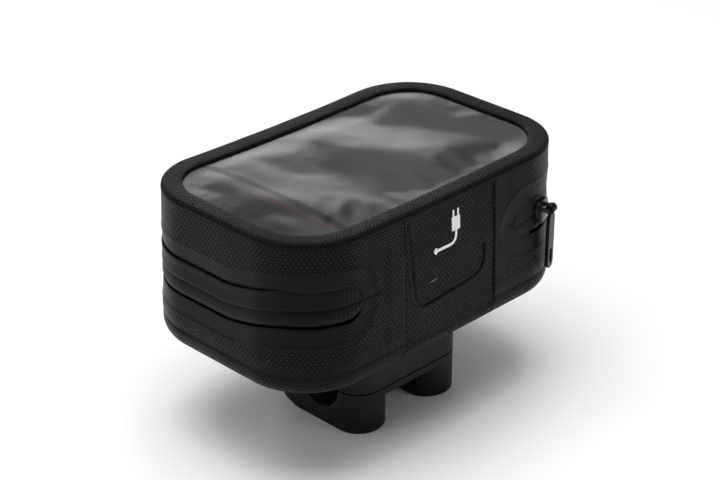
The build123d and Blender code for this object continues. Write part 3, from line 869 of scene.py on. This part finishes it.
def garage_place(along, row):
    """A vertex of the garage: it is tucked under the slot's lip and open towards the slider."""
    place_along = garage_start + along
    base = skin_point(place_along, zip_z_hinge, 0)
    half = slot_reach(base.x, base.y)
    reach = half + 1.2 * MM
    z = zip_z_hinge + reach * (2 * row / garage_cells - 1)
    edge = abs(z - zip_z_hinge) / reach
    upper = wall_relief(place_along, zip_z_hinge + half + 0.01 * MM)[0]
    lower = wall_relief(place_along, zip_z_hinge - half - 0.01 * MM)[0]
    out = lower + (upper - lower) * row / garage_cells - 0.08 * MM
    creases = abs(noise.noise(Vector((base.x * 110, z * 260, 2.0))))
    crumple = step(along, 3 * MM, 9 * MM) * (1 - edge ** 2)
    out += (0.35 * (1 - edge ** 2) - 1.1 * creases * crumple) * MM
    out -= 1.3 * MM * step(along, garage_length - 2.5 * MM, garage_length)
    return skin_point(place_along, z, out), 0.85, z - bag_bottom


garage = wrapped_grid("zip_garage_patch", [garage_length * k / garage_cells for k in range(garage_cells + 1)],
                      garage_cells + 1, garage_place)
finish_piece(garage, SOLIDIFY={"thickness": 1.2 * MM, "offset": -1, "use_even_offset": False})
garage.data.shade_smooth()
garage.data.materials.append(wall_cloth)
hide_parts("zip_garage")
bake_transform(garage)

# ------------------------------------------------------------------ cable-side panel
# A separate piece of the same cloth let in between the ends of the wrap, with the cable outlet:
# a line debossed round three sides of a field, and a short slit for the cable in its middle.
panel_rise = 0.25 * MM  # the panel's skin under the bag's own
panel_swell = 0.3 * MM
deboss_line = (  # x and z, in millimetres
    (-28.6, 107.0), (-27.6, 95.0), (-26.2, 80.0), (-25.2, 68.0), (-24.6, 63.5), (-22.8, 60.0), (-19.0, 58.0),
    (-14.0, 57.9), (-4.0, 58.5), (8.0, 59.4), (18.0, 60.3), (22.0, 61.3), (24.8, 63.6), (26.2, 67.0),
    (26.6, 71.0), (26.4, 75.2), (25.4, 75.8),
)


def line_gap(line, x, z):
    """How far a place is from a line of points given in millimetres, and how far along the line, 0 to 1."""
    nearest = (1.0, 0.0)
    for number, ((x0, z0), (x1, z1)) in enumerate(zip(line, line[1:])):
        start = Vector((x0 * MM, z0 * MM))
        run = Vector((x1 * MM, z1 * MM)) - start
        share = min(max((Vector((x, z)) - start).dot(run) / run.length_squared, 0.0), 1.0)
        gap = (Vector((x, z)) - start - run * share).length
        if gap < nearest[0]:
            nearest = (gap, (number + share) / (len(line) - 1))
    return nearest


panel_left, panel_cell, panel_count = -32.4, 0.5, 137  # the first two in millimetres
panel_columns = [(panel_left + panel_cell * k) * MM for k in range(panel_count)]
panel_fillet = 8
panel_rows = 150


def panel_place(x, row):
    """A vertex of the panel: it turns under the bag's rounded bottom edge."""
    along = front(x)
    if row < panel_fillet:
        turn = math.radians(90 * (row + 0.6) / (panel_fillet + 0.6))
        z = bag_bottom + bottom_edge * (1 - math.cos(turn))
        out = 0.2 * MM - bottom_edge * (1 - math.sin(turn))
        return skin_point(along, z, out), 0.0, bottom_edge * (turn - 0.57)
    foot = bag_bottom + bottom_edge
    z = foot + (lid_wall_top - 0.5 * MM - foot) * (row - panel_fillet) / panel_rows
    gap, share = line_gap(deboss_line, x, z)
    depth = 0.5 + 1.0 * step(share, 0.3, 0.5)
    out = -panel_rise - depth * MM * bump(gap, 0.9 * MM) + 0.15 * MM * bump(gap - 1.9 * MM, 1.3 * MM)
    out += panel_swell * noise.noise(Vector((x * 32, z * 30, 0.0)))
    out -= 0.35 * MM * step(abs(x - 1.3 * MM), 31.4 * MM, 33.5 * MM)
    out -= wall_hollow(x, z - bag_bottom)
    # Along the deboss line pressed goes above 1; the cloth's material turns this into painted shade in the
    # groove.
    pressed = 0.9 * bump(gap, 2.0 * MM) + 1.1 * bump(gap, 0.9 * MM) * (0.3 + 0.7 * step(share, 0.3, 0.5))
    sag = rim_sag(x) * step(z, zip_z_hinge + 4 * MM, bag_top)
    return skin_point(along, z, out, sag), pressed, z - bag_bottom


cable_panel = wrapped_grid("cable_side_panel", panel_columns, panel_fillet + panel_rows + 1, panel_place)
finish_piece(cable_panel, SOLIDIFY={"thickness": 0.5 * MM, "offset": -1, "use_even_offset": False})
cable_panel.data.shade_smooth()
cable_panel.data.materials.append(wall_cloth)
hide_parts("hinge_panel_lower", "hinge_panel_upper")
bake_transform(cable_panel)

# ------------------------------------------------------------------ cable sign
# Plain white sign of a plug and its cable, printed on the lid's part of the panel in a soft ink.
sign_cable = ((6.0, 91.0), (6.0, 88.5), (5.4, 86.3), (3.8, 84.6), (1.5, 84.0), (-3.0, 84.0), (-7.5, 84.0))
sign_body = ((6.0, 91.2, 2.9), (6.0, 91.3, 3.0), (6.0, 95.0, 3.0), (6.0, 98.8, 3.0), (6.0, 98.9, 2.9))
sign_end = ((-7.4, 84.0, 0.1), (-7.9, 84.0, 1.2), (-8.9, 84.0, 1.7), (-9.9, 84.0, 1.2), (-10.4, 84.0, 0.1))
ink_rise = 0.12 * MM


def panel_skin(x, z):
    """A place on the panel's skin, where the ink lies."""
    out = -panel_rise + panel_swell * noise.noise(Vector((x * 32, z * 30, 0.0)))
    out -= wall_hollow(x, z - bag_bottom)
    return skin_point(front(x), z, out + ink_rise, rim_sag(x) * step(z, zip_z_hinge + 4 * MM, bag_top))


def ribbon(name, spine):
    """A flat ribbon of ink along a spine of x, z and half its width, in millimetres."""
    def place_at(share, row):
        number = min(int(share), len(spine) - 2)
        part = share - number
        here, there = Vector(spine[number]), Vector(spine[number + 1])
        before = Vector(spine[max(number - 1, 0)])
        beyond = Vector(spine[min(number + 2, len(spine) - 1)])
        start_run, stop_run = (there - before) / 2, (beyond - here) / 2
        cube, square = part ** 3, part ** 2
        spot = (here * (2 * cube - 3 * square + 1) + start_run * (cube - 2 * square + part)
                + there * (3 * square - 2 * cube) + stop_run * (cube - square))
        run = (here * (6 * square - 6 * part) + start_run * (3 * square - 4 * part + 1)
               + there * (6 * part - 6 * square) + stop_run * (3 * square - 2 * part))
        side = Vector((-run.y, run.x)).normalized() * spot.z * (row - 1)
        return panel_skin((spot.x + side.x) * MM, (spot.y + side.y) * MM), 0.0, row * MM
    count = 8 * (len(spine) - 1)
    return wrapped_grid(name, [k / 8 for k in range(count + 1)], 3, place_at)


sign_parts = [
    ribbon("cable_sign", [(x, z, 0.8) for x, z in sign_cable]),
    ribbon("sign_body", sign_body),
    ribbon("sign_blade_a", ((4.3, 98.8, 0.6), (4.3, 101.0, 0.6), (4.3, 103.2, 0.6))),
    ribbon("sign_blade_b", ((7.7, 98.8, 0.6), (7.7, 101.0, 0.6), (7.7, 103.2, 0.6))),
    ribbon("sign_end", sign_end),
]
bpy.ops.object.select_all(action="DESELECT")
for part in sign_parts:
    part.select_set(True)
bpy.context.view_layer.objects.active = sign_parts[0]
bpy.ops.object.join()
cable_sign = sign_parts[0]
sign_form = bmesh.new()
sign_form.from_mesh(cable_sign.data)
for face in sign_form.faces:
    if face.normal.y > 0:
        face.normal_flip()
sign_form.to_mesh(cable_sign.data)
sign_form.free()
finish_piece(cable_sign, SOLIDIFY={"thickness": 0.3 * MM, "offset": -1})
ink, tree, output = new_material("white_screen_ink")
object_place = add_node(tree, "TexCoord")
grain = add_node(tree, "TexNoise", Vector=object_place.outputs["Object"], Scale=350.0, Detail=3.0)
shade = add_node(tree, "Mix", {"data_type": "RGBA"}, _0=grain.outputs[0])
shade.inputs[6].default_value = linear("ECECEC")
shade.inputs[7].default_value = linear("FFFFFF")
coat = add_node(tree, "BsdfPrincipled", Base_Color=shade.outputs[2], Roughness=0.6)
tree.links.new(coat.outputs[0], output.inputs[0])
cable_sign.data.materials.append(ink)
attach(cable_sign, "lid")


def plain_finish(name, colour, rough_low, rough_high, grain_mm, relief_mm, **settings):
    """A finish with fine grain: its roughness wanders between two values over a little uneven surface."""
    made, tree, output = new_material(name)
    place = add_node(tree, "TexCoord")
    grain = add_node(tree, "TexNoise", Vector=place.outputs["Object"], Scale=1000 / grain_mm / 4, Detail=3.0)
    broad = add_node(tree, "TexNoise", Vector=place.outputs["Object"], Scale=35.0, Detail=3.0)
    rough = add_node(tree, "MapRange", _0=broad.outputs[0], _1=0.3, _2=0.7, _3=rough_low, _4=rough_high)
    relief = add_node(tree, "Bump", Height=grain.outputs[0], Distance=relief_mm * MM, Strength=1.0)
    shade = add_node(tree, "Mix", {"data_type": "RGBA"}, _0=broad.outputs[0])
    shade.inputs[6].default_value = linear(colour)
    shade.inputs[7].default_value = [c * 1.35 for c in linear(colour)[:3]] + [1.0]
    coat = add_node(
        tree, "BsdfPrincipled", Base_Color=shade.outputs[2], Roughness=rough.outputs[0],
        Normal=relief.outputs[0], **settings)
    tree.links.new(coat.outputs[0], output.inputs[0])
    return made


# The slit is drawn as a thin light grey ribbon: a painted highlight along the slit's edge.
slit_highlight_ribbon = ribbon("cable_slit_highlight", [(-14.0, 68.5, 0.1), (-11.2, 68.8, 0.22), (-8.4, 69.1, 0.1)])
if slit_highlight_ribbon.data.polygons[0].normal.y > 0:
    slit_highlight_ribbon.data.flip_normals()
finish_piece(slit_highlight_ribbon, SOLIDIFY={"thickness": 0.3 * MM, "offset": -1})
slit_highlight_ribbon.data.materials.append(plain_finish("slit_painted_highlight", "6A6A6C", 0.4, 0.5, 0.5, 0.02))
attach(slit_highlight_ribbon, "tub")


# ------------------------------------------------------------------ clamp
# Saddle and bridge are injection moulded in glass-filled nylon: satin black with a fine spark
# texture. Four cap screws from below close them on the handlebar over rubber liners.
def paint_nodes(paint, *nodes):
    """Gives carried-over pieces their finish."""
    for node in nodes:
        mesh = frame["nodes"][node].data
        mesh.materials.clear()
        mesh.materials.append(paint)


# Glass-filled nylon from a spark-eroded mould: satin, with a fine even grain.
moulded_nylon = plain_finish("moulded_nylon", "0A0A0B", 0.38, 0.5, 0.6, 0.05, Specular_IOR_Level=0.22)
paint_nodes(moulded_nylon, "saddle", "clamp_bridge")
# Moulded rubber: dull all over.
liner_rubber = plain_finish("liner_rubber", "0B0B0B", 0.65, 0.85, 0.5, 0.05, IOR=1.45)
paint_nodes(liner_rubber, "bar_liner_upper", "bar_liner_lower", "cable_grommet")
# Steel blackened in a hot salt bath: dark grey metal with an oily satin.
black_oxide = plain_finish("black_oxide_steel", "3A3A3D", 0.3, 0.45, 0.3, 0.01, Metallic=1.0)
paint_nodes(black_oxide, "clamp_bolts", "saddle_screws", "saddle_washers")
# Brass as it leaves the lathe: bright, with fine turning marks.
turned_brass = plain_finish("turned_brass", "B8924A", 0.25, 0.4, 0.3, 0.01, Metallic=1.0)
paint_nodes(turned_brass, "clamp_inserts")
# Pressed fibre board: dull and slightly rough.
stiffener_board = plain_finish("stiffener_board", "18181A", 0.7, 0.85, 0.8, 0.06, IOR=1.45)
paint_nodes(stiffener_board, "floor_board", "rim_stiffener")
# Die-cast zinc under baked black enamel: glossy.
black_enamel = plain_finish("black_enamel", "0C0C0D", 0.25, 0.35, 0.4, 0.02, IOR=1.5)
paint_nodes(black_enamel, "zip_slider")
# Stamped steel with a dark nickel plating: grey-black metal, a little brighter than the slider.
gunmetal_plate = plain_finish("gunmetal_plate", "1B1B1D", 0.3, 0.42, 0.4, 0.02, Metallic=1.0)
paint_nodes(gunmetal_plate, "zip_puller")
